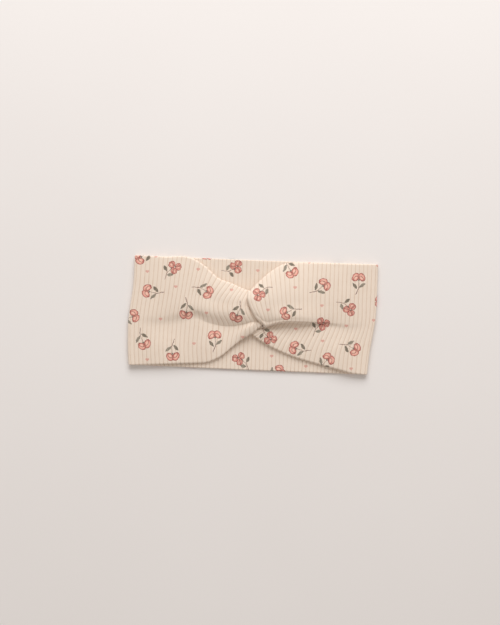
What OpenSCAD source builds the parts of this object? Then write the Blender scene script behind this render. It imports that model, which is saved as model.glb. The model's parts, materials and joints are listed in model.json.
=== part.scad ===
// Knotted headband: a doubled tube of rib jersey closed into a loop by a twist knot.
// The loop lies flat. X runs along the band, Y across it, and Z up from the face it rests on.
// The cloth is divided at its bend lines into panels, so that the loop can open.

/* [Band] */
// Length of the flattened loop, from one side fold to the other
loop_l = 188; // [160:2:240]
// Width of the band
band_w = 84; // [70:2:110]
// Thickness of one layer of rib jersey
cloth_t = 0.8; // [0.6:0.1:1.2]
// Gap between the front and the rear of the flattened loop
loop_gap = 0.6; // [0.4:0.1:1.5]

/* [Bend lines] */
// Distance of the bend lines from the middle of the loop
bend_x = 30; // [26:1:36]
// Gap between two panels at a bend line
bend_gap = 0.3; // [0.2:0.05:0.6]
// Lean of the bend lines and of the side folds from the Y axis, in degrees
lean = 2.8; // [0:0.1:5]

/* [Knot] */
// Thickness of the lobes that cross on top of the knot
over_t = 4; // [3:0.5:6]
// Thickness of the lobes that pass underneath
under_t = 3.4; // [2.5:0.1:5]
// Length of the sewn seam inside the knot
knot_seam_l = 32; // [24:1:40]
// Width of the seam allowance inside the knot
knot_seam_w = 7; // [5:0.5:9]

/* [Stitches] */
// Thickness of the sewing thread
thread_d = 0.3; // [0.2:0.05:0.5]
// Length of one stitch of the closing seam
stitch_l = 2.0; // [1.5:0.1:3]
// Distance from one stitch to the next
stitch_pitch = 2.8; // [2.4:0.1:4]
// Distance between the threads of the overlocked edge
overlock_pitch = 2.0; // [1:0.1:3]

/* [Hidden] */
$fn = 48;

// A doubled band: outer layer and lining
tube_t = 2 * cloth_t;
// The side folds turn half a circle about an axis midway between rear and front
fold_r = tube_t + loop_gap / 2;
// A leaning fold reaches furthest out at one long edge of the band
fold_inset = (band_w - tube_t) / 2 * sin(lean) - 0.1;
fold_x = loop_l / 2 - fold_r - fold_inset;

// The closing seam runs in a groove along the middle of the lining
groove_w = 0.8;
groove_d = cloth_t / 2;

// Levels inside the knot, from the inner face of the front upwards
lobe_gap = 0.2;
knot_z = 2 * fold_r - tube_t;
seam_t = tube_t;
under_z = knot_z + seam_t + lobe_gap;
over_z = under_z + under_t + lobe_gap;
over_top = over_z + over_t;

// Where the lobes leave the panels and where they end in the knot: [low y, high y]
valley = 0.2;
root_t = 2.2;
root_x = bend_x - bend_gap / 2 - 0.2;
left_upper_root = [valley, band_w * 0.38];
left_lower_root = [-band_w * 0.45, -valley];
right_upper_root = [valley, band_w * 0.48];
right_lower_root = [-band_w * 0.38, -valley];
over_left_tip = [-14, -3.5];
over_right_tip = [3, 19];
under_upper_tip = [2, 17];
under_lower_tip = [-15, -3];
// From here inwards a lobe is level, and it ends a little past the middle of the knot
shoulder_x = 8;
past_middle = 4;

function stitch_count(length) = floor((length - stitch_l) / stitch_pitch) + 1;

// ---- Profiles across the band, in Y and Z, with the outer face down at z = 0 ----

// The flattened tube, with its two long edges rounded as folded cloth is
module tube_profile() {
    translate([-(band_w - tube_t) / 2, 0]) square([band_w - tube_t, tube_t]);
    for (side = [-1, 1])
        translate([side * (band_w - tube_t) / 2, tube_t / 2]) circle(d = tube_t);
}

// The lining fills the upper half of the tube, between its two folded edges
module lining_space(depth) {
    translate([-(band_w - tube_t) / 2, cloth_t]) square([band_w - tube_t, depth]);
}

module outer_profile() {
    difference() {
        tube_profile();
        lining_space(tube_t);
    }
}

module lining_profile() {
    difference() {
        lining_space(cloth_t);
        translate([-groove_w / 2, tube_t - groove_d]) square([groove_w, tube_t]);
    }
}

// ---- Parts of a panel that runs from x0 to x1 on the rear of the loop ----

// A bar with the profile of its children, cut at both ends along the lean of the bend lines
module along_x(x0, x1) {
    reach = band_w / 2 * tan(lean) + 1;
    intersection() {
        translate([x0 - reach, 0, 0]) rotate([90, 0, 90]) linear_extrude(x1 - x0 + 2 * reach) children();
        rotate([0, 0, -lean])
            translate([x0 * cos(lean), -band_w, -tube_t])
                cube([(x1 - x0) * cos(lean), 2 * band_w, 3 * tube_t]);
    }
}

module outer_panel(x0, x1) {
    color("bisque") along_x(x0, x1) outer_profile();
}

module lining_panel(x0, x1) {
    color("antiquewhite") along_x(x0, x1) lining_profile();
}

module thread(length) {
    rotate([0, 90, 0]) cylinder(h = length, d = thread_d, center = true);
}

module closing_stitches(x0, x1) {
    count = stitch_count(x1 - x0);
    z = tube_t - groove_d + thread_d / 2 + 0.02;
    color("tan")
        for (i = [0 : count - 1])
            translate([(x0 + x1) / 2 + (i - (count - 1) / 2) * stitch_pitch, 0, z]) thread(stitch_l);
}

// ---- Placing a rear panel's parts on the front, or on the other side ----

module on_front() {
    translate([0, 0, 2 * fold_r]) mirror([0, 0, 1]) children();
}

module on_right() {
    rotate([0, 0, 180]) children();
}

rear_span = [-bend_x + bend_gap / 2, bend_x - bend_gap / 2];
rear_left_span = [-fold_x, -bend_x - bend_gap / 2];
front_left_span = [-fold_x + bend_gap / 2, -bend_x - bend_gap / 2];

// ---- The side folds, where the band turns from rear to front ----

module side_fold() {
    color("wheat")
        translate([-fold_x, 0, fold_r]) rotate([90, 0, -lean])
            linear_extrude(band_w - tube_t, center = true)
                difference() {
                    circle(r = fold_r);
                    circle(r = loop_gap / 2);
                    translate([0, -2 * fold_r]) square([2 * fold_r, 4 * fold_r]);
                }
}

// ---- The knot ----

// End of a lobe: a flat bar with round edges, across the band, leaning by an angle from the Y axis
module lobe_end(x, y_range, z, t, angle = 0) {
    for (y = [y_range[0] + t / 2, y_range[1] - t / 2])
        translate([x + y * tan(angle), y, z + t / 2]) rotate([0, 90, 0])
            cylinder(h = 0.4, d = t, center = true, $fn = 32);
}

// A lobe narrows and rises from its root at a bend line, then runs level to its tip in the knot
module lobe(side, root, tip, tip_z, tip_t) {
    hull() {
        lobe_end(side * root_x, root, knot_z, root_t, lean);
        lobe_end(side * shoulder_x, tip, tip_z, tip_t);
    }
    hull() {
        lobe_end(side * shoulder_x, tip, tip_z, tip_t);
        lobe_end(-side * past_middle, tip, tip_z, tip_t);
    }
}

module knot_left_over_lobe() {
    color("bisque") lobe(-1, left_lower_root, over_left_tip, over_z, over_t);
}

module knot_right_over_lobe() {
    color("bisque") lobe(1, right_upper_root, over_right_tip, over_z, over_t);
}

module knot_left_under_lobe() {
    color("wheat") lobe(-1, left_upper_root, under_upper_tip, under_z, under_t);
}

module knot_right_under_lobe() {
    color("wheat") lobe(1, right_lower_root, under_lower_tip, under_z, under_t);
}

// The four ends of the band, sewn together and pressed flat inside the knot
module knot_seam_allowance() {
    color("antiquewhite")
        translate([-knot_seam_w / 2, -knot_seam_l / 2, knot_z]) cube([knot_seam_w, knot_seam_l, seam_t]);
}

module knot_seam_stitches() {
    count = stitch_count(knot_seam_l);
    color("tan")
        for (i = [0 : count - 1])
            translate([knot_seam_w / 4, (i - (count - 1) / 2) * stitch_pitch, knot_z - thread_d / 2])
                rotate([0, 0, 90]) thread(stitch_l);
}

module knot_overlock_threads() {
    count = floor(knot_seam_l / overlock_pitch);
    thread_l = knot_seam_w / 2;
    color("tan")
        for (i = [0 : count - 1])
            translate([-knot_seam_w / 4, (i - (count - 1) / 2) * overlock_pitch, knot_z - thread_d / 2])
                thread(thread_l);
}

// ---- Nodes ----

outer_panel(rear_span[0], rear_span[1]);  // rear_outer
lining_panel(rear_span[0], rear_span[1]);  // rear_lining
closing_stitches(rear_span[0], rear_span[1]);  // rear_closing_stitches

outer_panel(rear_left_span[0], rear_left_span[1]);  // rear_left_outer
lining_panel(rear_left_span[0], rear_left_span[1]);  // rear_left_lining
closing_stitches(rear_left_span[0], rear_left_span[1]);  // rear_left_closing_stitches
side_fold();  // left_side_fold

on_right() outer_panel(rear_left_span[0], rear_left_span[1]);  // rear_right_outer
on_right() lining_panel(rear_left_span[0], rear_left_span[1]);  // rear_right_lining
on_right() closing_stitches(rear_left_span[0], rear_left_span[1]);  // rear_right_closing_stitches
on_right() side_fold();  // right_side_fold

on_front() outer_panel(front_left_span[0], front_left_span[1]);  // front_left_outer
on_front() lining_panel(front_left_span[0], front_left_span[1]);  // front_left_lining
on_front() closing_stitches(front_left_span[0], front_left_span[1]);  // front_left_closing_stitches

on_right() on_front() outer_panel(front_left_span[0], front_left_span[1]);  // front_right_outer
on_right() on_front() lining_panel(front_left_span[0], front_left_span[1]);  // front_right_lining
on_right() on_front() closing_stitches(front_left_span[0], front_left_span[1]);  // front_right_closing_stitches

knot_left_over_lobe();
knot_left_under_lobe();
knot_right_over_lobe();
knot_right_under_lobe();
knot_seam_allowance();
knot_seam_stitches();
knot_overlock_threads();
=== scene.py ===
"""Looks of the knotted headband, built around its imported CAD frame.

Lengths are in millimetres up to the point where a mesh is made, which is in metres.
X runs along the flattened band, Y across it and Z up. A station is a line of cloth along one rib.
"""

import json
import math

import bpy
import numpy as np
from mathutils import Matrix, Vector


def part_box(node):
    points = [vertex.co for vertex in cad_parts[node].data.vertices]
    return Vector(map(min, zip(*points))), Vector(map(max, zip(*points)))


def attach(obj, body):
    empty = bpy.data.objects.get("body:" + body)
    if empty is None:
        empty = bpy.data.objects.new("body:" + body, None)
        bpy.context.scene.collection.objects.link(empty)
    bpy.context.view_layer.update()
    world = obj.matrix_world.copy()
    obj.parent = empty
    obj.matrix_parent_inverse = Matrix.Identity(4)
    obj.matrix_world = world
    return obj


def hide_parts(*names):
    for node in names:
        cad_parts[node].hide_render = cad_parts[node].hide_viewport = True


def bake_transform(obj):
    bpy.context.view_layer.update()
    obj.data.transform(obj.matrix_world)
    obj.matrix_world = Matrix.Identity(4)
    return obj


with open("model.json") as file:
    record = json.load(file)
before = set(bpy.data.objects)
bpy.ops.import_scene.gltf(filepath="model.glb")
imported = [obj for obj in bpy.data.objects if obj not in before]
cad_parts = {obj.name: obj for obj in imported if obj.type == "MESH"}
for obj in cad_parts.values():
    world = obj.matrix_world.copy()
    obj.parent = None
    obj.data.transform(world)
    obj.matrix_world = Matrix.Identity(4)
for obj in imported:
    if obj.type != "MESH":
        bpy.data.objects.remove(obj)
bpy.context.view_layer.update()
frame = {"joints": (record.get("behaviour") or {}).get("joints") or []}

MM = 0.001
JOINTS = {j["name"]: j for j in frame["joints"]}


def low_high(node):
    """Lowest and highest corner of a CAD node in millimetres."""
    low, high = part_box(node)
    return np.array(low) / MM, np.array(high) / MM


# ---- Dimensions of the frame ----

TUBE_T = low_high("rear_lining")[1][2]
FOLD_Z = JOINTS["left_fold"]["pos_m"][2] / MM
BEND_X = -JOINTS["loop_opening"]["pos_m"][0] / MM
# All bend lines are parallel, and lean a little from Y
INNER_Z = 2 * FOLD_Z - TUBE_T

# ---- Cloth ----

FOLD_ARC = math.pi * FOLD_Z
# Ribs from the middle of the rear to the end of the side fold's turn, their pitch, and rings of points in one
RIB_COUNT = 31
RIB = 3.1635
RIB_RINGS = 9
STEP = RIB / RIB_RINGS
# Depth and width of the furrows between the ribs, and how far a rib's crown stands out
RIB_DEPTH = 0.2
FURROW_W = 0.52
CROWN = 0.12
# Where the cloth turns round its long edges, the ribs are deeper by this share, over this width
EDGE_DEEPER = 0.5
EDGE_DEEPER_W = 2.0
EDGE_R = TUBE_T / 2
# Length of cloth from the middle of the rear to a side fold, its last ring in a furrow before the turn, and
# where the front starts
FOLD_X = RIB_COUNT * RIB - FOLD_ARC
FOLD_START = (RIB_COUNT - 2) * RIB_RINGS
FRONT_START = FOLD_X + FOLD_ARC
# Half the length of the band, from the middle of the rear to the middle of the knot
HALF = 2 * FOLD_X + FOLD_ARC
# The rear's long edges at its middle, in Y
REAR_EDGES = (-41.9, 41.7)


def smooth(t):
    """Rises smoothly from 0 at t = 0 to 1 at t = 1, and is level outside them."""
    t = np.clip(t, 0, 1)
    return t * t * (3 - 2 * t)


def cubic(z0, z1, m0, m1, t):
    """Cubic from z0 to z1 with slopes m0 and m1 over a stretch of length 1."""
    return (
        z0 * (2 * t**3 - 3 * t**2 + 1) + m0 * (t**3 - 2 * t**2 + t)
        + z1 * (3 * t**2 - 2 * t**3) + m1 * (t**3 - t**2)
    )


def hermite(knots, values, at):
    """Smooth curve through values at knots, evaluated at the places in at."""
    knots = np.asarray(knots, float)
    values = np.asarray(values, float).reshape(len(knots), -1)
    step = np.diff(knots)[:, None]
    slope = np.diff(values, axis=0) / step
    tangent = np.empty_like(values)
    tangent[0] = slope[0]
    tangent[-1] = slope[-1]
    tangent[1:-1] = (slope[:-1] * step[1:] + slope[1:] * step[:-1]) / (step[1:] + step[:-1])
    i = np.clip(np.searchsorted(knots, at, side="right") - 1, 0, len(knots) - 2)
    h = step[i]
    t = ((at - knots[i])[:, None]) / h
    return cubic(values[i], values[i + 1], tangent[i] * h, tangent[i + 1] * h, t)


# ---- The front: stations from the side fold into the knot ----
# Each station: distance from the fold, then six places across the band: top edge, crest and brow of the upper
# lobe, valley, crest of the lower lobe, bottom edge.

LEFT_STATIONS = [
    (0, (-89.5, 41.9, 3), (-89.9, 20, 4.1), (-92.1, -1, 4.05),
     (-92.8, -11, 3.8), (-92.3, -28, 3.95), (-91.1, -41.4, 3)),
    (20, (-68.3, 41.8, 3), (-69.6, 19, 4.9), (-71.9, -1.2, 4.9),
     (-72.5, -11.2, 3.8), (-72.6, -27, 4.5), (-71.6, -40.4, 2.9)),
    (38, (-48.5, 41.6, 3), (-51.6, 18, 5.8), (-53.7, 1.8, 5.7),
     (-54.2, -8.4, 3.7), (-54.6, -26, 4.1), (-53.6, -39, 2.6)),
    (48, (-38, 36, 3), (-42.8, 16.5, 6.2), (-44.4, 3.8, 6.3),
     (-43.4, -4.2, 3.7), (-44.4, -25, 4.1), (-43.4, -38.3, 2.6)),
    (58, (-27, 27, 3), (-34, 13.5, 6.8), (-35.4, 2, 7.1),
     (-32.8, -7.2, 3.7), (-33.6, -24, 4.2), (-32.6, -37, 2.5)),
    (66, (-18, 23.8, 3.2), (-26.4, 10.5, 7.3), (-26.6, 0.5, 7.7),
     (-22.3, -9, 3.8), (-23.1, -22, 4.4), (-23.4, -32.5, 2.5)),
    (74, (-10.8, 21, 3.8), (-17.5, 9.5, 8), (-17.4, 0, 8.2),
     (-13, -8.6, 4.4), (-14, -17.5, 5), (-14.8, -25, 2.7)),
    (81, (-5.8, 19, 4.4), (-10.2, 9.2, 8.5), (-9.4, 0.4, 8.5),
     (-5.8, -6.9, 5.5), (-6.8, -12.5, 6.4), (-6.9, -18.5, 3.5)),
    (85, (-2.5, 18.2, 4.8), (-6.3, 8.8, 8.5), (-5.3, 0.8, 8.4),
     (-1.9, -5.7, 6), (-2.8, -9.9, 7.1), (-2.4, -15.6, 4.1)),
    (88, (0, 17.5, 5.2), (-3.4, 8.5, 7.2), (-2.2, 1, 8),
     (1, -4.8, 6.2), (0.2, -8, 7.6), (0.8, -13.4, 4.6)),
    (94, (6, 15, 5.2), (4, 5, 6.6), (4.4, -0.5, 6.3),
     (5, -3.8, 5.9), (4.8, -5.8, 7.3), (5.9, -8.7, 5.6)),
    (98, (9, 12, 5.4), (8, 4, 6.6), (8, 0, 6.8),
     (8.4, -3.2, 6.2), (8.6, -4.2, 6.8), (9.6, -5.2, 5.8)),
]
RIGHT_STATIONS = [
    (0, (91.6, 41.9, 3), (91.6, 14, 4.1), (91.3, 1, 4.05),
     (90.3, -7, 3.9), (87.8, -24, 4), (86.3, -42, 3)),
    (8, (83.9, 41.9, 3), (83.9, 14, 4.5), (84, 0, 4.35),
     (83, -8.5, 3.9), (78.6, -24, 4.3), (77.5, -41.5, 2.9)),
    (20, (72, 41.9, 3), (72, 14, 5.2), (72, -2, 4.9),
     (71, -9.4, 4), (66.3, -24.5, 4.9), (64.5, -38.7, 2.7)),
    (34, (58, 41.8, 3), (58, 14, 6.2), (58.2, -2, 5.5),
     (56.9, -7.4, 3.8), (50.4, -24, 4.2), (48.3, -34.9, 2.5)),
    (46, (45.8, 41.6, 3), (45.5, 13.5, 7.2), (46.2, -2.4, 7),
     (44.8, -5.6, 3.5), (37, -22, 4.2), (34.3, -31.3, 2.5)),
    (57, (33, 41.3, 3), (34.2, 12.5, 8.4), (35.2, -2.2, 8.5),
     (33.8, -5.2, 3.3), (25.7, -19.5, 4.4), (22.4, -27.2, 2.5)),
    (67, (21, 39.2, 3.1), (24, 11.2, 9.5), (25.4, -2.4, 9.4),
     (24, -5.3, 3.2), (16, -16.6, 4.6), (12, -22.6, 2.6)),
    (76, (11.5, 33, 3.5), (15, 10.2, 10.4), (17, -3.6, 9.4),
     (15.9, -6.9, 3.1), (8.5, -14, 4.9), (4, -18, 2.9)),
    (84, (4, 26, 4.4), (7, 9.6, 10.9), (11, -4.8, 8.6),
     (10.9, -9, 3.1), (3.5, -11.7, 4.7), (-1, -14.2, 3.1)),
    (88, (0.5, 22.3, 5.2), (2.2, 9.4, 11.3), (7.4, -4, 9.2),
     (9.4, -9.6, 3.1), (0, -10.5, 4.4), (-3.5, -12.2, 3.1)),
]
# Where the right band's end turns under, over the left: for its first four places, the outermost point,
# the way it faces, its highest level and the radius of its turn. Its lower lobe is already hidden there.
TURN = [
    ((-4.9, 18.4), (-1, 0.1), 6.6, 1.5),
    ((-4.5, 9.8), (-1, 0), 11.2, 2),
    ((1.2, -1.3), (-0.75, -0.66), 10.4, 1.9),
    ((6.8, -7.6), (-0.7, -0.7), 3.9, 0.5),
]
# Distance of the turn from the fold, and its radius and angles in the cloth
TURN_START = 92.7
TURN_R = 2.1
TURN_ANGLES = (0, 45, 90, 135, 175)


def turned_end():
    """Stations round the turn at the end of the right band."""
    out = []
    for angle in TURN_ANGLES:
        a = math.radians(angle)
        back = math.sin(a) - 1
        places = [
            (x + fx * r * back, y + fy * r * back, top - r + r * math.cos(a))
            for (x, y), (fx, fy), top, r in TURN
        ]
        hidden = [(-3.0 - angle / 90, -9.5, 4.2), (-5.5 - angle / 90, -11.0, 3.4)]
        out.append((TURN_START + TURN_R * a, *places, *hidden))
    return out


RIGHT_STATIONS += turned_end()
# Along the stations, how much the brow overhangs the valley, how steeply it falls into it otherwise, and
# how steeply the lower lobe rises from it
LEFT_VALLEY = [(0, 0, 0, 0), (36, 0, 0, 0), (50, 0, 1.0, 0.4), (66, 0.15, 1.3, 1.3), (98, 0.3, 1.3, 1.5)]
RIGHT_VALLEY = [
    (0, 0, 0, 0), (36, 0, 0, 0), (48, 0.4, 0.2, 0), (58, 0.95, 0, 0), (76, 1, 0, 0.2), (99, 1, 0, 1),
]
# Height of the inner face along the stations. It leaves room for the seam allowance, and ends inside the
# other band
INNER_FACE = [(0, INNER_Z), (68, INNER_Z), (78, 2.5), (85, 3.6), (90, 4.0), (94, 5.0), (100, 5.0)]
# The inner face stays at least this far below the folded edges, and curves down from them over this width
EDGE_DROP = 0.6
EDGE_CURVE_W = 3.0
# Soft pleats of the inner face towards the knot: where they start, how soon they are full, depth and pitch
PLEAT_START = 55
PLEAT_RUN = 30
PLEAT_DEPTH = 0.45
PLEAT_PITCH = 6.5
# Within this distance from the fold, the front goes over from flat cloth to its stations' heights
LOFT_RUN = 16
# Points sampled in each stretch from the top edge to the bottom edge
SPANS = (28, 16, 18, 24, 26)


def across():
    """Stretch number and place in it for each point from the top edge to the bottom edge.

    The points are denser at the edges."""
    span, part = [], []
    for k, n in enumerate(SPANS):
        t = np.arange(n) / n
        if k == 0:
            t = t**2
        if k == 2:
            t = np.sin(t * math.pi / 2)
        if k == len(SPANS) - 1:
            t = 1 - (1 - t) ** 2
        span += [k] * n
        part += list(t)
    return np.array(span + [len(SPANS) - 1]), np.array(part + [1.0])


SPAN, PART = across()
UPPER_COUNT = len(SPAN)
# Around the whole band: along the upper face from top edge to bottom edge, and back along the lower face
RING = np.concatenate([np.arange(UPPER_COUNT), np.arange(UPPER_COUNT - 2, 0, -1)])
IS_LOWER = np.arange(len(RING)) >= UPPER_COUNT


def plan_curve(keys):
    """X and Y along each station: a smooth line through its six places. keys is (stations, 6, 2)."""
    knots = np.arange(6.0)
    at = SPAN + PART
    flat = hermite(knots, keys.transpose(1, 0, 2).reshape(6, -1), at)
    return flat.reshape(len(at), len(keys), 2).transpose(1, 0, 2)


# A folded edge turns over within this width and height, and within this share of the rise to the crest
EDGE_TURN_W = 1.2
EDGE_TURN_H = 1.6
EDGE_TURN_SHARE = 0.75


def edge_fold(low, high, run, t):
    """Height from a folded edge (t = 0) to the crest beside it (t = 1), run millimetres away."""
    turn = np.minimum(EDGE_TURN_H, EDGE_TURN_SHARE * (high - low))
    near = np.clip(t * run / EDGE_TURN_W, 0, 1)
    return low + turn * np.sqrt(1 - (1 - near) ** 2) + (high - low - turn) * (1 - (1 - t) ** 2)


def upper_heights(z, valley, keys):
    """Height of the upper face. z is (stations, 6) and valley (stations, 3)."""
    out = np.zeros((len(z), UPPER_COUNT))
    run = np.linalg.norm(np.diff(keys, axis=1), axis=2)[:, :, None]
    overhang, fall, rise = (valley[:, k, None] for k in range(3))
    brow_slope = ((z[:, 3] - z[:, 1]) / (run[:, 1, 0] + run[:, 2, 0]))[:, None]
    for k in range(5):
        pick = SPAN == k
        t = PART[pick][None, :]
        a, b = z[:, k, None], z[:, k + 1, None]
        if k == 0:
            out[:, pick] = edge_fold(a, b, run[:, k], t)
        elif k == 1:
            out[:, pick] = cubic(a, b, 0 * a, brow_slope * run[:, k], t)
        elif k == 2:
            gentle = cubic(a, b, brow_slope * run[:, k], fall * (b - a), t)
            steep = b + (a - b) * np.sqrt(1 - t**2)
            out[:, pick] = gentle + (steep - gentle) * overhang
        elif k == 3:
            out[:, pick] = cubic(a, b, rise * (b - a), 0 * a, t)
        else:
            out[:, pick] = edge_fold(b, a, run[:, k], 1 - t)
    out[:, -1] = z[:, -1]
    return out


def inset(y):
    """How far each point is from the band's nearer long edge. y is (stations, points)."""
    bottom = UPPER_COUNT - 1
    return np.minimum(y[:, :1] - y, y - y[:, bottom : bottom + 1])


def edge_round(y):
    """0 at the band's long edges and 1 further in than the radius of their fold."""
    t = np.clip(inset(y) / EDGE_R, 0, 1)
    return np.sqrt(np.clip(1 - (1 - t) ** 2, 0, 1))


def wander(x, y, seed, size, height):
    """Slow unevenness of loose cloth: a few crossed waves, about size long and height high."""
    waves = 6
    rng = np.random.default_rng(seed)
    out = np.zeros_like(x)
    for _ in range(waves):
        angle, phase = rng.uniform(0, 2 * math.pi, 2)
        wave = size * rng.uniform(0.7, 1.6)
        out += np.sin((x * np.cos(angle) + y * np.sin(angle)) * 2 * math.pi / wave + phase)
    return out * height / waves


def front_rings(stations, valley):
    """Rings of the front cloth from the side fold into the knot, and their distances from the fold."""
    knots = [s[0] for s in stations]
    keys = np.array([s[1:] for s in stations], float)
    count = int(knots[-1] / STEP) + 1
    along = np.arange(count) * STEP
    dense = hermite(knots, keys.reshape(len(knots), -1), along).reshape(count, 6, 3)
    at, *shares = zip(*valley)
    shares = np.column_stack([np.interp(along, at, share) for share in shares])
    inner = np.interp(along, *zip(*INNER_FACE))
    plan = plan_curve(dense[:, :, :2])
    z = upper_heights(dense[:, :, 2], shares, dense[:, :, :2])
    y = plan[:, :, 1]
    t = edge_round(y)
    mid = FOLD_Z * 2 - EDGE_R
    flat_up, flat_down = mid + EDGE_R * t, mid - EDGE_R * t
    edge_z = np.where(np.arange(UPPER_COUNT) < UPPER_COUNT / 2, z[:, :1], z[:, -1:])
    reach = np.sqrt(1 - (1 - np.clip(inset(y) / EDGE_CURVE_W, 0, 1)) ** 2)
    under = edge_z + (np.minimum(inner[:, None], edge_z - EDGE_DROP) - edge_z) * reach
    near = smooth((along - PLEAT_START) / PLEAT_RUN)[:, None]
    pleats = np.sin(y * 2 * math.pi / PLEAT_PITCH + 0.6 * np.sin(y * 0.4))
    under += PLEAT_DEPTH * near * reach * pleats
    loft = smooth(along / LOFT_RUN)[:, None]
    up = flat_up + (z - flat_up) * loft
    down = flat_down + (under - flat_down) * loft
    up += wander(plan[:, :, 0], y, seed=3, size=30, height=0.5) * loft * t
    return ring_points(plan, up, down), along


def ring_points(plan, up, down):
    """Joins the upper and lower faces into closed rings of points."""
    height = np.where(IS_LOWER, down[:, RING], up[:, RING])
    return np.dstack([plan[:, RING, 0], plan[:, RING, 1], height])


def rear_rings(side, first_front):
    """Rings of the rear cloth from the middle of the loop to the side fold, and round the fold to the front.

    The first half of a ring is its outer face, which faces down on the rear and up on the front."""
    slant = first_front[:UPPER_COUNT, 0] - side * FOLD_X
    y_fold = first_front[:UPPER_COUNT, 1]
    y_mid = np.interp(y_fold, [y_fold[-1], y_fold[0]], REAR_EDGES)
    t = edge_round(y_fold[None])[0]
    rings, along = [], []
    for s in np.arange(0, FOLD_X - STEP / 2, STEP):
        share = smooth(s / FOLD_X)
        x = side * s + slant * share
        y = y_mid + (y_fold - y_mid) * share
        sag = wander(x, y, seed=11, size=38, height=0.2) * t
        rings.append((x, x, y, EDGE_R - EDGE_R * t, EDGE_R + EDGE_R * t + sag))
        along.append(s)
    turns = int(round(FOLD_ARC / STEP))
    for k in range(turns):
        turn = k / turns * math.pi
        r_out = FOLD_Z - EDGE_R + EDGE_R * t
        r_in = FOLD_Z - EDGE_R - EDGE_R * t
        x_out = side * (FOLD_X + r_out * math.sin(turn)) + slant
        x_in = side * (FOLD_X + r_in * math.sin(turn)) + slant
        z_out = FOLD_Z - r_out * math.cos(turn)
        z_in = FOLD_Z - r_in * math.cos(turn)
        rings.append((x_out, x_in, y_fold, z_out, z_in))
        along.append(FOLD_X + turn * FOLD_Z)
    out = []
    for x_out, x_in, y, z_out, z_in in rings:
        x = np.where(IS_LOWER, x_in[RING], x_out[RING])
        z = np.where(IS_LOWER, z_in[RING], z_out[RING])
        out.append(np.column_stack([x, y[RING], z]))
    return np.array(out), np.array(along)


# ---- Ribs ----


def rib_profile(distance):
    """Height of the rib knit: broad rounded ribs with a narrow furrow between them."""
    from_furrow = np.abs((distance / RIB + 0.5) % 1 - 0.5) * RIB
    crown = CROWN * (1 - np.cos(2 * math.pi * distance / RIB)) / 2
    return -np.exp(-((from_furrow / FURROW_W) ** 2)) + crown


def normals(rings, side):
    """Outward normal at each point of a stack of rings."""
    du = np.gradient(rings, axis=0)
    dv = np.roll(rings, -1, axis=1) - np.roll(rings, 1, axis=1)
    n = np.cross(du, dv) * side
    return n / np.maximum(np.linalg.norm(n, axis=2, keepdims=True), 1e-9)


def ribbed(rings, distance, side):
    """The rings with ribs in relief, deeper where the cloth turns round its long edges."""
    near_edge = np.exp(-((inset(rings[:, :, 1]) / EDGE_DEEPER_W) ** 2))
    depth = RIB_DEPTH * (1 + EDGE_DEEPER * near_edge)
    return rings + normals(rings, side) * (rib_profile(distance)[:, None] * depth)[:, :, None]


# ---- Print: flowers and small hearts ----
# Each flower: x and y of its head, the turn of its stem from pointing down in degrees, its side (-1 is
# mirrored), and its kind: 0 is a flower seen from the side, 1 is one with three petals.

FRONT_FLOWERS = [
    (-88.3, 39.7, 115, 1, 0), (-60.6, 33.9, 325, 1, 1), (-81.4, 15.3, 80, -1, 0), (-34.2, 15.5, 245, -1, 0),
    (-50.8, -2.0, 175, -1, 0), (-13.0, -2.6, 160, -1, 0), (-89.4, -3.8, 290, 1, 0), (-81.1, -25.9, 205, 1, 0),
    (-59.5, -33.9, 185, 1, 0), (-28.6, -16.0, 5, 1, 0), (3.6, 15.4, 120, -1, 1), (28.5, 32.6, 210, 1, 0),
    (53.6, 25.6, 310, 1, 0), (78.8, 31.7, 0, 1, 0), (73.1, 6.8, 245, 1, 1), (23.7, 1.9, 115, 1, 0),
    (53.3, -4.6, 325, 1, 1), (13.8, -17.2, 210, -1, 1), (31.5, -23.3, 75, -1, 0), (78.8, -23.5, 245, -1, 0),
    (58.9, -30.4, 320, -1, 0), (95.1, 13.8, 90, 1, 0),
]
FRONT_HEARTS = [
    (-81.3, 29.8), (-59.3, 19.1), (-42.8, 32.9), (-17, 18.3), (-69.9, -5.8), (-35.3, 0.1), (-43.9, -23.4),
    (-78.8, -36.9), (-7.2, -17.1), (11.1, 4.2), (30.9, 21.9), (51.7, 9), (32.8, -9.4), (53.4, -17.7),
    (70.9, -5.6), (91.4, -0.6), (75.8, -37.9), (-75.2, 41.6), (93.1, 40.8), (41, 41.6),
]
REAR_FLOWERS = [
    (-13.9, 36.3, 285, -1, 1), (-9.7, -33.5, 40, -1, 1), (22.6, -41.6, 300, -1, 0), (-36.6, 43.8, 180, 1, 0),
]
REAR_HEARTS = [(2.3, 33.7), (15.3, -30.7), (41.5, -37.5)]
# Elsewhere the print lies on a lattice with these pitches, and wanders from it a little
LATTICE_X = 27
LATTICE_Y = 22
LATTICE_ROWS = range(-3, 4)
LATTICE_MID = 4
WANDER = 2
# Distance between a lattice flower and a placed one, and between the lattice and the front
CLEAR = 24
FRONT_MARGIN = 10
# Length of a stem. The nearest flower is the one whose stem is nearest
STEM_REACH = 11.0


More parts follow.
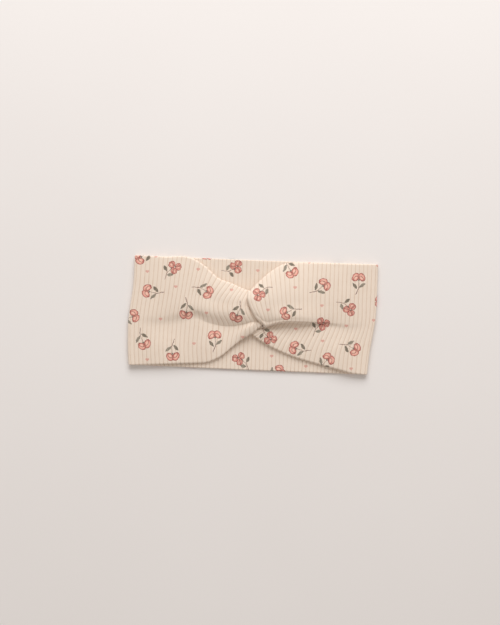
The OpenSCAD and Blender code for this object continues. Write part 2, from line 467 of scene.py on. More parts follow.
def lattice(x0, x1, keep_clear, seed):
    """Flowers and hearts on the lattice from x0 to x1, away from the places in keep_clear."""
    rng = np.random.default_rng(seed)
    flowers, hearts = [], []
    for row in LATTICE_ROWS:
        for column in range(int((x1 - x0) / LATTICE_X) + 1):
            x = x0 + (column + (row % 2) / 2) * LATTICE_X + rng.uniform(-WANDER, WANDER)
            y = row * LATTICE_Y + LATTICE_MID + rng.uniform(-WANDER, WANDER)
            turn = rng.uniform(0, 360)
            # One flower in three has three petals
            kind = int(rng.integers(0, 3) == 0)
            side = 1 if rng.uniform() < 0.5 else -1
            if all(math.hypot(x - c[0], y - c[1]) > CLEAR for c in keep_clear):
                flowers.append((x, y, turn, side, kind))
                hearts.append((min(x + LATTICE_X / 2, x1), y + rng.uniform(-WANDER, WANDER)))
    return flowers, hearts


def outer_print():
    """The whole outer face, with X going on round the side folds on to the rear."""
    whole = 2 * HALF
    front = [(f[0] + k * whole, f[1]) for f in FRONT_FLOWERS for k in (0, 1)]
    flowers, hearts = lattice(FOLD_X + FRONT_MARGIN, whole - FOLD_X - FRONT_MARGIN, front, seed=5)
    flowers += FRONT_FLOWERS
    hearts += FRONT_HEARTS
    return (
        [(f[0] + k * whole, *f[1:]) for f in flowers for k in (-1, 0, 1)],
        [(h[0] + k * whole, h[1]) for h in hearts for k in (-1, 0, 1)],
    )


# The front hides the rear's inner face this far from its middle line, and past this X down to this Y
HIDDEN_HALF = 12
HIDDEN_X = 48
HIDDEN_Y = -24
# Nothing this near a side fold counts as hidden
FOLD_MARGIN = 12
# How far the lattice on the rear's inner face reaches
LINING_REACH = 120


def covered(place):
    """Whether the front hides this place of the rear's inner face, clear of the side folds."""
    x, y = abs(place[0]), place[1]
    return x < FOLD_X - FOLD_MARGIN and (abs(y) < HIDDEN_HALF or (x > HIDDEN_X and y > HIDDEN_Y))


def lining_print():
    """The inner face of the rear, where the front's places don't reach."""
    flowers, hearts = lattice(-LINING_REACH, LINING_REACH, REAR_FLOWERS, seed=8)
    return [f for f in flowers if covered(f)] + REAR_FLOWERS, [h for h in hearts if covered(h)] + REAR_HEARTS


PRINTS = {"outer": outer_print(), "lining": lining_print()}


def local_places(centres, corners, places, turns=0, sides=1, reach=0):
    """For each face, its corners in the axes of the place nearest its centre, and that place's number.

    With a reach, the distance is from a stem that long."""
    places = np.array([p[:2] for p in places], float)
    turns = np.zeros(len(places)) + np.radians(turns)
    sides = np.ones(len(places)) * sides
    down = np.column_stack([np.sin(turns), -np.cos(turns)])
    best = np.full(len(centres), 1e9)
    nearest = np.zeros(len(centres), int)
    for k, p in enumerate(places):
        d = centres - p
        if reach:
            share = np.clip(d @ down[k] / reach, 0, 1)
            d = d - share[:, None] * reach * down[k]
        far = np.hypot(d[:, 0], d[:, 1])
        closer = far < best
        best[closer], nearest[closer] = far[closer], k
    d = corners - places[nearest][:, None, :]
    c = np.cos(turns[nearest])[:, None]
    s = np.sin(turns[nearest])[:, None]
    x = (d[:, :, 0] * c + d[:, :, 1] * s) * sides[nearest][:, None]
    y = -d[:, :, 0] * s + d[:, :, 1] * c
    return np.dstack([x, y]), nearest


# ---- Meshes ----

# So far off that nothing is drawn there. It is also added to the distance from the closing seam, where the
# face has none
FAR = 1000


def new_object(name, verts, faces, material):
    """An object from vertices in millimetres and faces with the same number of corners each."""
    mesh = bpy.data.meshes.new(name)
    verts = np.asarray(verts, np.float32)
    faces = np.asarray(faces, np.int32)
    size = faces.shape[1]
    mesh.vertices.add(len(verts))
    mesh.vertices.foreach_set("co", (verts * MM).ravel())
    mesh.loops.add(faces.size)
    mesh.loops.foreach_set("vertex_index", faces.ravel())
    mesh.polygons.add(len(faces))
    mesh.polygons.foreach_set("loop_start", np.arange(len(faces), dtype=np.int32) * size)
    mesh.polygons.foreach_set("use_smooth", np.ones(len(faces), bool))
    mesh.update(calc_edges=True)
    mesh.validate()
    mesh.materials.append(material)
    o = bpy.data.objects.new(name, mesh)
    bpy.context.scene.collection.objects.link(o)
    return o


def corner_vectors(o, name, values):
    """Stores one vector per face corner. values is (faces, corners, 2 or 3)."""
    data = np.zeros((values.shape[0] * values.shape[1], 3), np.float32)
    data[:, : values.shape[2]] = values.reshape(-1, values.shape[2])
    o.data.attributes.new(name, "FLOAT_VECTOR", "CORNER").data.foreach_set("vector", data.ravel())


def ring_quads(count, size, capped):
    """Quads between count rings of size points, and those that close the first and the last ring where capped
    says so. A ring's second half runs back along its first."""
    index = np.arange(count * size).reshape(count, size)
    a, b = index[:-1], index[1:]
    quads = [np.stack([a, b, np.roll(b, -1, 1), np.roll(a, -1, 1)], axis=2).reshape(-1, 4)]
    k = np.arange(size // 2 - 1)
    for ring, order, closed in zip(index[[0, -1]], (1, -1), capped):
        if closed:
            cap = np.column_stack([ring[k], ring[k + 1], ring[size - 2 - k], ring[size - 1 - k]])
            quads.append(cap[:, ::order])
    return np.concatenate(quads)


# A face whose corners' distances round the ring differ by more lies across the ring's start
RING_JUMP = 20


def cloth_object(name, rings, relief, distance, side, print_x, capped):
    """A tube of printed jersey through the rings in relief.

    print_x is the print's own X for each ring point of the outer face; the inner face has the lining's print.
    capped says whether the tube's start and its end are closed."""
    count, size = rings.shape[:2]
    quads = ring_quads(count, size, capped)
    is_inner = np.broadcast_to(IS_LOWER | np.roll(IS_LOWER, -1), (count - 1, size)).reshape(-1)
    is_inner = np.concatenate([is_inner, np.ones(len(quads) - len(is_inner), bool)])
    if side > 0:
        quads = quads[:, ::-1]
    o = new_object(name, relief.reshape(-1, 3), quads, JERSEY)
    steps = np.linalg.norm(np.roll(rings, -1, axis=1) - rings, axis=2)
    round_mm = np.cumsum(steps, axis=1) - steps
    cloth = np.zeros((len(quads), 4, 3))
    cloth[:, :, 0] = np.repeat(distance, size)[quads]
    cloth[:, :, 1] = round_mm.reshape(-1)[quads]
    cloth[:, :, 2] = rings[:, :, 1].reshape(-1)[quads] + np.where(is_inner, 0, FAR)[:, None]
    jump = np.ptp(cloth[:, :, 1], axis=1) > RING_JUMP
    cloth[jump, :, 1] = cloth[jump, :1, 1]
    corner_vectors(o, "cloth", cloth)
    flower_data = np.zeros((len(quads), 4, 3))
    heart_data = np.zeros((len(quads), 4, 3))
    places = {
        "outer": np.dstack([print_x, rings[:, :, 1]]).reshape(-1, 2),
        "lining": rings[:, :, :2].reshape(-1, 2),
    }
    for which, pick in (("outer", ~is_inner), ("lining", is_inner)):
        flowers, hearts = PRINTS[which]
        corners = places[which][quads[pick]]
        centres = corners.mean(1)
        _, _, turns, sides, kinds = zip(*flowers)
        local, nearest = local_places(centres, corners, flowers, turns, sides, STEM_REACH)
        kinds = np.array(kinds, float)[nearest]
        flower_data[pick] = np.dstack([local, np.repeat(kinds[:, None], 4, 1)])
        heart_data[pick, :, :2] = local_places(centres, corners, hearts)[0]
    corner_vectors(o, "flower", flower_data)
    corner_vectors(o, "heart", heart_data)
    return o


# ---- Materials ----


def math_node(operation):
    """A method of Sum that adds one Math node with this operation."""
    return lambda self, *others: self.math(operation, *others)


class Sum:
    """A number in a material's node tree, so that a pattern can be written as a formula."""

    def __init__(self, tree, socket):
        self.tree, self.socket = tree, socket

    def math(self, operation, *others):
        node = self.tree.nodes.new("ShaderNodeMath")
        node.operation = operation
        for slot, value in zip(node.inputs, (self, *others)):
            if isinstance(value, Sum):
                self.tree.links.new(value.socket, slot)
            else:
                slot.default_value = value
        return Sum(self.tree, node.outputs[0])

    __add__ = math_node("ADD")
    __sub__ = math_node("SUBTRACT")
    __mul__ = math_node("MULTIPLY")
    __truediv__ = math_node("DIVIDE")
    __abs__ = math_node("ABSOLUTE")
    low = math_node("MINIMUM")
    high = math_node("MAXIMUM")
    power = math_node("POWER")
    part = math_node("FRACT")

    def __rsub__(self, other):
        return (self * -1) + other

    def ramp(self, a, b):
        """0 at a and 1 at b, with a smooth change between, and level outside them."""
        node = self.tree.nodes.new("ShaderNodeMapRange")
        node.interpolation_type = "SMOOTHSTEP"
        self.tree.links.new(self.socket, node.inputs["Value"])
        for end, (place, value) in zip(("Min", "Max"), sorted([(a, 0.0), (b, 1.0)])):
            node.inputs[f"From {end}"].default_value = place
            node.inputs[f"To {end}"].default_value = value
        return Sum(self.tree, node.outputs["Result"])


def length(x, y):
    return (x * x + y * y).power(0.5)


def disc(x, y, cx, cy, r):
    """Distance outside a disc, negative inside it."""
    return length(x - cx, y - cy) - r


def leaf(x, y, base, tip, width):
    """Distance outside a pointed leaf, roughly, and distance from its middle line."""
    half = math.dist(base, tip) / 2
    cx, cy = (base[0] + tip[0]) / 2, (base[1] + tip[1]) / 2
    ux, uy = (tip[0] - base[0]) / (2 * half), (tip[1] - base[1]) / (2 * half)
    along = ((x - cx) * ux + (y - cy) * uy) / half
    aside = abs((y - cy) * ux - (x - cx) * uy)
    return aside - (1 - along * along) * width, aside


def stroke(x, y, a, b, r):
    """Distance outside a line from a to b, with round ends of radius r."""
    dx, dy = b[0] - a[0], b[1] - a[1]
    share = (((x - a[0]) * dx + (y - a[1]) * dy) / (dx * dx + dy * dy)).high(0.0).low(1.0)
    return length(x - a[0] - share * dx, y - a[1] - share * dy) - r


def attribute(tree, name):
    """The three numbers of a mesh attribute, and the attribute as a vector."""
    node = tree.nodes.new("ShaderNodeAttribute")
    node.attribute_name = name
    parts = tree.nodes.new("ShaderNodeSeparateXYZ")
    tree.links.new(node.outputs["Vector"], parts.inputs[0])
    return [Sum(tree, parts.outputs[k]) for k in range(3)], node.outputs["Vector"]


def noise(tree, vector, scale, detail):
    node = tree.nodes.new("ShaderNodeTexNoise")
    node.inputs["Scale"].default_value = scale
    node.inputs["Detail"].default_value = detail
    tree.links.new(vector, node.inputs["Vector"])
    return Sum(tree, node.outputs["Fac"])


# Sockets of a Mix node that mixes colours
MIX_AMOUNT = 0
MIX_BASE = 6
MIX_COLOUR = 7
MIX_RESULT = 2


def mix(tree, base, colour, amount):
    """Paints colour over base by amount. base and colour are sockets or tuples."""
    node = tree.nodes.new("ShaderNodeMix")
    node.data_type = "RGBA"
    for slot, value in ((node.inputs[MIX_BASE], base), (node.inputs[MIX_COLOUR], colour)):
        if isinstance(value, tuple):
            slot.default_value = (*value, 1)
        else:
            tree.links.new(value, slot)
    tree.links.new(amount.socket, node.inputs[MIX_AMOUNT])
    return node.outputs[MIX_RESULT]


def bump(tree, height, distance):
    """A normal bent by a height pattern that is distance metres high."""
    node = tree.nodes.new("ShaderNodeBump")
    node.inputs["Distance"].default_value = distance
    node.inputs["Strength"].default_value = 1.0
    tree.links.new(height.socket, node.inputs["Height"])
    return node.outputs["Normal"]


def material(name, roughness, sheen):
    """A material, its node tree and its shader."""
    m = bpy.data.materials.new(name)
    m.use_nodes = True
    shader = m.node_tree.nodes["Principled BSDF"]
    shader.inputs["Roughness"].default_value = roughness
    shader.inputs["Sheen Weight"].default_value = sheen
    shader.inputs["Sheen Roughness"].default_value = 0.5
    shader.inputs["Specular IOR Level"].default_value = 0.25
    return m, m.node_tree, shader


CREAM = (0.905, 0.768, 0.646)
# Darker cream: painted shade in the rib furrows and the seam groove, and the heather's own random tone
CREAM_SHADE_AND_HEATHER = (0.72, 0.55, 0.42)
PETAL = (0.85, 0.365, 0.295)
PETAL_LIGHT = (1.0, 0.64, 0.505)
PETAL_LINE = (0.34, 0.075, 0.06)
LEAF_DARK = (0.145, 0.117, 0.088)
LEAF_MIDDLE = (0.24, 0.203, 0.15)
LEAF_LIGHT = (0.37, 0.326, 0.255)
STEM = (0.24, 0.125, 0.10)
HEART = (0.76, 0.39, 0.32)
THREAD_LIGHT = (0.78, 0.66, 0.54)
THREAD_DARK = (0.62, 0.50, 0.40)
FLOOR_LIGHT = (0.885, 0.85, 0.83)
FLOOR_DARK = (0.855, 0.815, 0.795)
# Half the width over which ink goes from full to none
INK_EDGE = 0.14
# Knit loops: columns of loops in one rib, and the height of a loop
COLUMNS = 4
LOOP_H = 0.62
# Heights of the knit and of the thread's twist, in metres
KNIT_RELIEF = 0.00012
TWIST_RELIEF = 0.00005


def oval(x, y, cx, cy, rx, ry, degrees):
    """Distance outside an oval whose first axis is turned by degrees, roughly."""
    a = math.radians(degrees)
    c, s = math.cos(a), math.sin(a)
    u = ((x - cx) * c + (y - cy) * s) / rx
    v = ((y - cy) * c - (x - cx) * s) / ry
    return (length(u, v) - 1) * min(rx, ry)


def side_flower(x, y):
    """Distances outside the parts of a flower seen from the side, with its head at 0 and its stem down.

    The parts are petals, lines in them, stem, two leaves each with its middle line, and dark calyx."""
    left = oval(x, y, -2.3, -0.1, 3.45, 2.55, 58)
    right = oval(x, y, 2.35, 0.0, 3.35, 2.5, 122)
    petals = left.low(right).low(disc(x, y, 0.1, 0.5, 1.9))
    fold = abs(left - right) * 0.5
    curls = abs(oval(x, y, -2.0, -1.1, 2.2, 1.3, 50)).low(abs(oval(x, y, 2.1, -1.0, 2.1, 1.3, 130)))
    lines = fold.low(curls.high((y - 0.6).high(0.0) - 0.1))
    dark_leaf, dark_middle = leaf(x, y, (-0.9, -9.0), (-4.4, -4.4), 1.15)
    light_leaf, light_middle = leaf(x, y, (0.6, -7.9), (5.5, -4.2), 1.1)
    calyx = oval(x, y, 0.2, -2.2, 0.75, 0.6, 0)
    stem = stroke(x, y, (0.2, -2.6), (0.5, -7.8), 0.16).low(stroke(x, y, (0.5, -7.8), (-0.5, -10.2), 0.27))
    stem = stem.low(stroke(x, y, (-0.5, -10.2), (-1.9, -13.2), 0.25))
    return petals, lines, stem, dark_leaf, dark_middle, light_leaf, light_middle, calyx


def open_flower(x, y):
    """The same for a flower with three petals, with dark dots where they meet."""
    left = oval(x, y, -3.0, 0.4, 2.45, 2.85, 0)
    top = oval(x, y, 2.0, 1.9, 2.4, 2.85, 40)
    below = oval(x, y, 1.0, -2.6, 2.75, 2.35, -20)
    petals = left.low(top).low(below)
    curls = abs(oval(x, y, -3.2, 0.4, 1.3, 1.5, 0)).low(abs(oval(x, y, 2.2, 2.0, 1.3, 1.5, 40)))
    curls = curls.low(abs(oval(x, y, 1.1, -2.8, 1.5, 1.2, -20)))
    lines = (abs(left - top).low(abs(top - below)).low(abs(left - below)) * 0.5).low(curls + 0.12)
    dark_leaf, dark_middle = leaf(x, y, (-2.9, -6.0), (-7.2, -3.9), 1.2)
    light_leaf, light_middle = leaf(x, y, (-1.1, -8.3), (2.4, -5.0), 1.2)
    dots = disc(x, y, 0.0, 0.8, 0.62).low(disc(x, y, -1.5, -2.1, 0.62))
    stem = stroke(x, y, (-1.5, -2.1), (-2.1, -6.6), 0.17).low(stroke(x, y, (-2.1, -6.6), (-1.6, -9.2), 0.22))
    stem = stem.low(stroke(x, y, (-1.6, -9.2), (-0.3, -11.8), 0.2))
    stem = stem.low(stroke(x, y, (-1.9, -6.8), (-3.1, -5.8), 0.15))
    return petals, lines, stem, dark_leaf, dark_middle, light_leaf, light_middle, dots


def small_heart(x, y):
    """Distance outside a heart."""
    left = disc(x, y, -0.6, 0.3, 0.78)
    right = disc(x, y, 0.6, 0.3, 0.78)
    return left.low(right).low(disc(x, y, 0.0, -0.5, 0.55))


def inside(distance, edge=INK_EDGE):
    """1 inside a part of the print and 0 outside it."""
    return distance.ramp(edge, -edge)


def printed_jersey():
    """Cream rib jersey with the print, its knit loops, and the groove of the closing seam; painted shade
    darkens the rib furrows and the groove.
    """
    m, tree, shader = material("printed_rib_jersey", 0.9, 0.25)
    (along, across_band, seam_y), cloth = attribute(tree, "cloth")
    (fx, fy, kind), _ = attribute(tree, "flower")
    (hx, hy, _), _ = attribute(tree, "heart")
    grain = noise(tree, cloth, 3.0, 2.0)
    # Flowers are drawn with a hand's unevenness
    x = fx + (noise(tree, cloth, 0.55, 2.0) - 0.5) * 1.3
    y = fy + (noise(tree, cloth, 0.7, 2.0) - 0.5) * 1.3
    parts = [a + (b - a) * kind for a, b in zip(side_flower(x, y), open_flower(x, y))]
    petals, lines, stem, dark_leaf, dark_middle, light_leaf, light_middle, dark = parts
    # The furrow between two ribs, where ink is thinner and painted shade darkens the cream
    furrow = abs((along / RIB + 0.5).part() - 0.5).ramp(0.15, 0.0)
    heather = noise(tree, cloth, 0.12, 4.0)
    # Painted shade fills the furrows; the heather's darker patches are the yarn's own tone
    colour = mix(tree, CREAM, CREAM_SHADE_AND_HEATHER, furrow * (heather + 0.32) + (heather - 0.5).high(0.0) * 0.35)
    ink = 1 - furrow * 0.22 - (grain - 0.5).high(0.0) * 0.5
    colour = mix(tree, colour, STEM, inside(stem) * 0.9)
    leaves = (light_leaf, light_middle, LEAF_LIGHT), (dark_leaf, dark_middle, LEAF_MIDDLE)
    for edge, middle, fill in leaves:
        vein = middle.ramp(0.3, 0.08).high((edge + 0.22).ramp(-0.12, 0.1)) * 0.8
        colour = mix(tree, colour, mix(tree, fill, LEAF_DARK, vein), inside(edge) * ink)
    petal = mix(tree, PETAL, PETAL_LIGHT, petals.ramp(-0.7, -1.6) * (grain * 0.9 + 0.5))
    rim = (petals + 0.46).ramp(-0.12, 0.2)
    petal = mix(tree, petal, PETAL_LINE, rim.high(lines.ramp(0.5, 0.12) * 0.8) * 0.95)
    colour = mix(tree, colour, petal, inside(petals) * ink)
    colour = mix(tree, colour, LEAF_DARK, inside(dark, 0.2) * 0.9)
    colour = mix(tree, colour, HEART, inside(small_heart(hx, hy), 0.25) * 0.85)
    # The closing seam is a narrow groove along the inner face, bumped in and darkened with painted shade
    groove = abs(seam_y).ramp(0.55, 0.1)
    colour = mix(tree, colour, CREAM_SHADE_AND_HEATHER, groove * 0.8)
    tree.links.new(colour, shader.inputs["Base Color"])
    # Knit loops: columns along the rib, each loop a slanted pair of legs
    column = (along * COLUMNS / RIB).part() - 0.5
    loop = (across_band / LOOP_H + abs(column) * 1.1).part() - 0.5
    knit = (1 - column * column * 4) * (1 - abs(loop) * 1.2)
    fuzz = noise(tree, cloth, 9.0, 4.0)
    normal = bump(tree, knit + fuzz * 0.5 - groove * 4, KNIT_RELIEF)
    tree.links.new(normal, shader.inputs["Normal"])
    tree.links.new((grain * 0.12 + 0.82).socket, shader.inputs["Roughness"])
    return m


def two_tone(name, roughness, sheen, scale, detail, base, colour):
    """A material between two colours, its node tree and shader, and the noise that mixes the colours."""
    m, tree, shader = material(name, roughness, sheen)
    coordinates = tree.nodes.new("ShaderNodeTexCoord").outputs["Object"]
    pattern = noise(tree, coordinates, scale, detail)
    tree.links.new(mix(tree, base, colour, pattern), shader.inputs["Base Color"])
    return m, tree, shader, pattern


def thread_material():
    m, tree, shader, twist = two_tone("sewing_thread", 0.6, 0.2, 2500.0, 2.0, THREAD_LIGHT, THREAD_DARK)
    tree.links.new(bump(tree, twist, TWIST_RELIEF), shader.inputs["Normal"])
    return m


JERSEY = printed_jersey()
THREAD = thread_material()

# ---- The bands ----


def half_band(side, stations, valley):
    """Rear, side fold and front cloth on one side of the loop, cut in the two furrows beside the side fold.

    Gives the three pieces, and the rear's and the front's rings with their distances."""
    word = "left" if side < 0 else "right"
    front, along_front = front_rings(stations, valley)
    rear, along_rear = rear_rings(side, front[0])
    rings = np.concatenate([rear, front])
    distance = np.concatenate([along_rear, FRONT_START + along_front])
    relief = ribbed(rings, distance, side)
    # The print's X is the plan's on the front, and runs on round the fold and along the rear
    slant = front[:1, :, 0] - side * FOLD_X
    on_rear = side * (HALF - along_rear)[:, None] + slant * smooth(along_rear / FOLD_X)[:, None]
    print_x = np.concatenate([on_rear, front[:, :, 0]])
    turn, cut = FOLD_START, len(rear)
    pieces = []
    for name, at, capped in (
        (f"rear_band_{word}", slice(0, turn + 1), (False, True)),
        (f"side_fold_{word}", slice(turn, cut + 1), (True, True)),
        (f"front_band_{word}", slice(cut, None), (False, False)),
    ):
        pieces.append(cloth_object(name, rings[at], relief[at], distance[at], side, print_x[at], capped))
    return pieces, (relief[: turn + 1], distance[: turn + 1]), (relief[cut:], distance[cut:])


(rear_left, left_fold, front_left), rear_left_face, front_left_face = half_band(
    -1, LEFT_STATIONS, LEFT_VALLEY
)
(rear_right, right_fold, front_right), rear_right_face, front_right_face = half_band(
    1, RIGHT_STATIONS, RIGHT_VALLEY
)

# ---- Threads ----

THREAD_R = 0.15
OVERLOCK_R = 0.13
THREAD_SIDES = 8
# Share of a thread's radius at its two ends
THREAD_TIP = 0.45
# A direction in which no thread runs
ASKEW = (0.31, 0.17, 0.93)
STITCH = 2.0
STITCH_PITCH = 2.8
STITCH_POINTS = 9
# Share of the pitch before each stitch of the closing seam
STITCH_LEAD = 0.14


def tube(path, radius):
    """Vertices and quads of a round thread along a path of points."""
    sides = THREAD_SIDES
    ahead = np.gradient(path, axis=0)
    ahead /= np.linalg.norm(ahead, axis=1, keepdims=True)
    first = np.cross(ahead, ASKEW)
    first /= np.linalg.norm(first, axis=1, keepdims=True)
    second = np.cross(ahead, first)
    turn = np.arange(sides) * 2 * math.pi / sides
    taper = np.ones(len(path))
    taper[[0, -1]] = THREAD_TIP
    ring = first[:, None] * np.cos(turn)[:, None] + second[:, None] * np.sin(turn)[:, None]
    verts = path[:, None] + ring * radius * taper[:, None, None]
    # The rings run the other way round than the cloth's
    quads = ring_quads(len(path), sides, (True, True))[:, [0, 3, 2, 1]]
    return verts.reshape(-1, 3), quads


def thread_object(name, paths, radius):
    """One object of all the threads along the paths."""
    verts, quads, count = [], [], 0
    for path in paths:
        v, q = tube(path, radius)
        verts.append(v)
        quads.append(q + count)
        count += len(v)
    return new_object(name, np.concatenate(verts), np.concatenate(quads), THREAD)


def stitch_rise(t, height):
    """Height of a stitch at the share t of its length: it comes up out of the cloth and goes back in."""
    return height * np.sin(math.pi * t) ** 0.7


def closing_stitches(name, face, inward, start, end):
    """Straight stitches along the middle of a band's inner face, which faces up (inward 1) or down (-1)."""
    rings, distance = face
    inner = rings[:, UPPER_COUNT:]
    nearest = np.abs(inner[:, :, 1]).argmin(1)
    line = inner[np.arange(len(rings)), nearest]
    line[:, 1] = 0
    paths = []
    t = np.linspace(0, 1, STITCH_POINTS)
    for k in range(int((end - start) / STITCH_PITCH)):
        at = start + (k + STITCH_LEAD) * STITCH_PITCH + STITCH * t
        path = np.column_stack([np.interp(at, distance, line[:, i]) for i in range(3)])
        path[:, 2] += inward * (stitch_rise(t, 0.3) - 0.12)
        paths.append(path)
    return thread_object(name, paths, THREAD_R)


REAR_SEAM = (1, FOLD_X - 1)
FRONT_SEAM = (FRONT_START + 2, FRONT_START + 84)
seams = {}
for word, rear_face, front_face in (
    ("left", rear_left_face, front_left_face),
    ("right", rear_right_face, front_right_face),
):
    seams[f"rear_{word}"] = closing_stitches(f"rear_{word}_closing_seam", rear_face, 1, *REAR_SEAM)
    seams[f"front_{word}"] = closing_stitches(f"front_{word}_closing_seam", front_face, -1, *FRONT_SEAM)

# ---- The seam inside the knot ----

SEAM_LOW, SEAM_HIGH = low_high("knot_seam_allowance")
SEAM_HALF = SEAM_HIGH[0]
SEAM_Z = SEAM_LOW[2]
SEAM_T = SEAM_HIGH[2] - SEAM_Z
SEAM_Y = (-12.0, 15.0)
# Rings of points along the allowance, and points in each
SEAM_RINGS = 109
SEAM_POINTS = 48
# Over this length its ends round off
SEAM_END = 0.8
# Width and depth of the line between its two leaves, and depth and pitch of the ribs across them
LEAF_GAP = 0.45
SEAM_RIB_DEPTH = 0.07
SEAM_RIB = 1.25


def signed_root(value):
    """Square root that keeps the sign. It makes a box with round corners out of a circle."""
    return np.sign(value) * np.abs(value) ** 0.5


def seam_allowance():
    """The band's four raw edges, pressed flat inside the knot: two thick leaves with a line between."""
    turn = np.linspace(0, 2 * math.pi, SEAM_POINTS, endpoint=False)
    rings = []
    for y in np.linspace(*SEAM_Y, SEAM_RINGS):
        end = min(1, math.sqrt(max(0.02, min(y - SEAM_Y[0], SEAM_Y[1] - y) / SEAM_END)))
        half = SEAM_HALF * (1 + 0.03 * math.sin(y * 2.1)) * (0.9 + 0.1 * end)
        x = half * signed_root(np.cos(turn))
        z = SEAM_T / 2 * end * signed_root(np.sin(turn))
        gap = LEAF_GAP * np.exp(-((x / LEAF_GAP) ** 2))
        dent = gap - SEAM_RIB_DEPTH * math.cos(y * 2 * math.pi / SEAM_RIB)
        z -= np.sign(z) * np.minimum(dent, np.abs(z) * 0.6)
        rings.append(np.column_stack([x, np.full_like(x, y), z + SEAM_Z + SEAM_T / 2]))
    points = np.concatenate(rings)
    quads = ring_quads(SEAM_RINGS, SEAM_POINTS, (True, True))
    o = new_object("knot_seam_allowance_cloth", points, quads, JERSEY)
    places = points[quads]
    nowhere = np.full_like(places, FAR)
    # Its furrows run along it, and it has neither print nor closing seam
    corner_vectors(o, "cloth", np.dstack([places[:, :, 0] + RIB / 2, places[:, :, 1], nowhere[:, :, 0]]))
    corner_vectors(o, "flower", nowhere)
    corner_vectors(o, "heart", nowhere)
    return o


allowance = seam_allowance()

SEAM_STITCHES = 9
# The overlock's zigzags, points in each, and their length along the seam and width across it
ZIGZAGS = 13
ZIGZAG_POINTS = 16
ZIGZAG_L = 2.0
ZIGZAG_W = 2.6


def seam_stitches():
    """Straight stitches along one leaf of the allowance, on its underside."""
    paths = []
    t = np.linspace(0, 1, STITCH_POINTS)
    for k in range(SEAM_STITCHES):
        y = SEAM_Y[0] + 1 + k * STITCH_PITCH + STITCH * t
        z = SEAM_Z + 0.12 - stitch_rise(t, 0.26)
        paths.append(np.column_stack([np.full_like(t, SEAM_HALF / 2), y, z]))
    return thread_object("knot_seam_thread", paths, THREAD_R)


def overlock_threads():
    """A zigzag that binds the raw edges, with the thread that runs along them."""
    t = np.linspace(0, ZIGZAGS, ZIGZAGS * ZIGZAG_POINTS + 1)
    zigzag = np.abs((t % 1) * 2 - 1)
    edge = -SEAM_HALF + 0.25
    y = SEAM_Y[0] + 0.6 + t * ZIGZAG_L
    z = SEAM_Z + 0.02 + 0.35 * np.clip(zigzag - 0.85, 0, 1) - 0.06 * np.sin(t * 2 * math.pi) ** 2
    over = np.column_stack([edge + (1 - zigzag) * ZIGZAG_W, y, z])
    chain = np.column_stack([edge + 0.1 * np.sin(t * 4 * math.pi), y, np.full_like(z, SEAM_Z + 0.28)])
    return thread_object("knot_overlock_thread", [over, chain], OVERLOCK_R)


stitches = seam_stitches()
overlock = overlock_threads()

# ---- Cloth baked in place, and the knot's seam riding on the frame ----

# Stretches round the bend line: the rear's lies mostly outside its pivot, and the front's is wider.
REAR_BEND = (BEND_X - 5, BEND_X + 16)
FRONT_BEND = (BEND_X - 22, BEND_X + 22)
for pieces, a, b, side, (start, end) in (
    ((rear_left, seams["rear_left"]), "rear", "rear_left", -1, REAR_BEND),
    ((rear_right, seams["rear_right"]), "rear", "rear_right", 1, REAR_BEND),
    ((front_left, seams["front_left"]), "knot", "front_left", -1, FRONT_BEND),
    ((front_right, seams["front_right"]), "knot", "front_right", 1, FRONT_BEND),
):
    for o in pieces:
        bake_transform(o)
for o, a, b in ((left_fold, "rear_left", "front_left"), (right_fold, "rear_right", "right_fold")):
    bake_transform(o)
for o in (allowance, stitches, overlock):
    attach(o, "knot")

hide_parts("rear_outer", "rear_lining", "rear_left_outer", "rear_left_lining")
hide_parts("rear_right_outer", "rear_right_lining")
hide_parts("left_side_fold")
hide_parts("right_side_fold")
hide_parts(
    "front_left_outer", "front_left_lining", "knot_left_over_lobe", "knot_left_under_lobe"
)
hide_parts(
    "front_right_outer", "front_right_lining", "knot_right_over_lobe", "knot_right_under_lobe"
)
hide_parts("rear_closing_stitches", "rear_left_closing_stitches")
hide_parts("rear_right_closing_stitches")
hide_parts("front_left_closing_stitches")
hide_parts("front_right_closing_stitches")
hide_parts("knot_seam_allowance")
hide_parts("knot_seam_stitches")
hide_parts("knot_overlock_threads")

# ---- Floor, light and camera, in metres ----

FLOOR_SIZE = 6
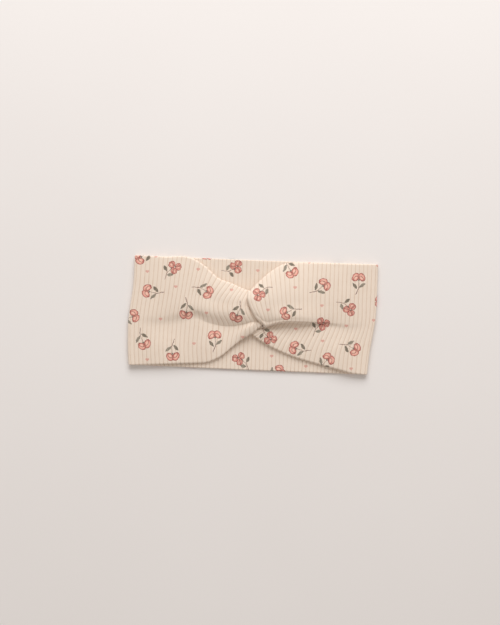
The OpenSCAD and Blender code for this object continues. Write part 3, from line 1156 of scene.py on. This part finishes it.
# The floor lies a little below the band, so that the two faces don't touch
FLOOR_Z = -0.0002
SKY_COLOUR = (1.0, 0.935, 0.875, 1)
SKY_STRENGTH = 0.5
WINDOW_SIZE = (1.3, 0.9)
WINDOW_PLACE = (0.04, 1.28, 0.86)
WINDOW_COLOUR = (0.975, 0.985, 1.0)
WINDOW_POWER = 21.0


def studio():
    """Plain pale floor, soft light from all round, and a large soft lamp beyond the band's top edge."""
    bpy.ops.mesh.primitive_plane_add(size=FLOOR_SIZE, location=(0, 0, FLOOR_Z))
    floor = bpy.context.object
    floor.name = "floor"
    floor.data.materials.append(two_tone("pale_floor", 0.9, 0.0, 6.0, 3.0, FLOOR_LIGHT, FLOOR_DARK)[0])
    world = bpy.data.worlds.new("studio")
    bpy.context.scene.world = world
    world.use_nodes = True
    background = world.node_tree.nodes["Background"]
    background.inputs["Color"].default_value = SKY_COLOUR
    background.inputs["Strength"].default_value = SKY_STRENGTH
    lamp = bpy.data.lights.new("window", "AREA")
    lamp.shape = "RECTANGLE"
    lamp.size, lamp.size_y = WINDOW_SIZE
    lamp.energy = WINDOW_POWER
    lamp.color = WINDOW_COLOUR
    o = bpy.data.objects.new("window", lamp)
    bpy.context.scene.collection.objects.link(o)
    o.location = WINDOW_PLACE
    o.rotation_mode = "QUATERNION"
    o.rotation_quaternion = (-Vector(o.location)).to_track_quat("-Z", "Y")


# The camera looks straight down from this height, at a part of the floor this high, round this middle
CAMERA_UP = 1.2
VIEW_H = 0.475
VIEW_CENTRE = (-0.0024, 0.0018)
VIEW_ROLL = math.radians(2.2)
# Sensor in millimetres
SENSOR = 36


def camera():
    """A camera straight above, turned a little."""
    data = bpy.data.cameras.new("camera")
    data.sensor_fit = "VERTICAL"
    data.sensor_width = data.sensor_height = SENSOR
    data.lens = SENSOR / VIEW_H * CAMERA_UP
    o = bpy.data.objects.new("camera", data)
    o.location = (*VIEW_CENTRE, CAMERA_UP)
    o.rotation_euler = (0, 0, VIEW_ROLL)
    bpy.context.scene.collection.objects.link(o)
    bpy.context.scene.camera = o


studio()
camera()
bpy.context.scene.view_settings.view_transform = "Standard"
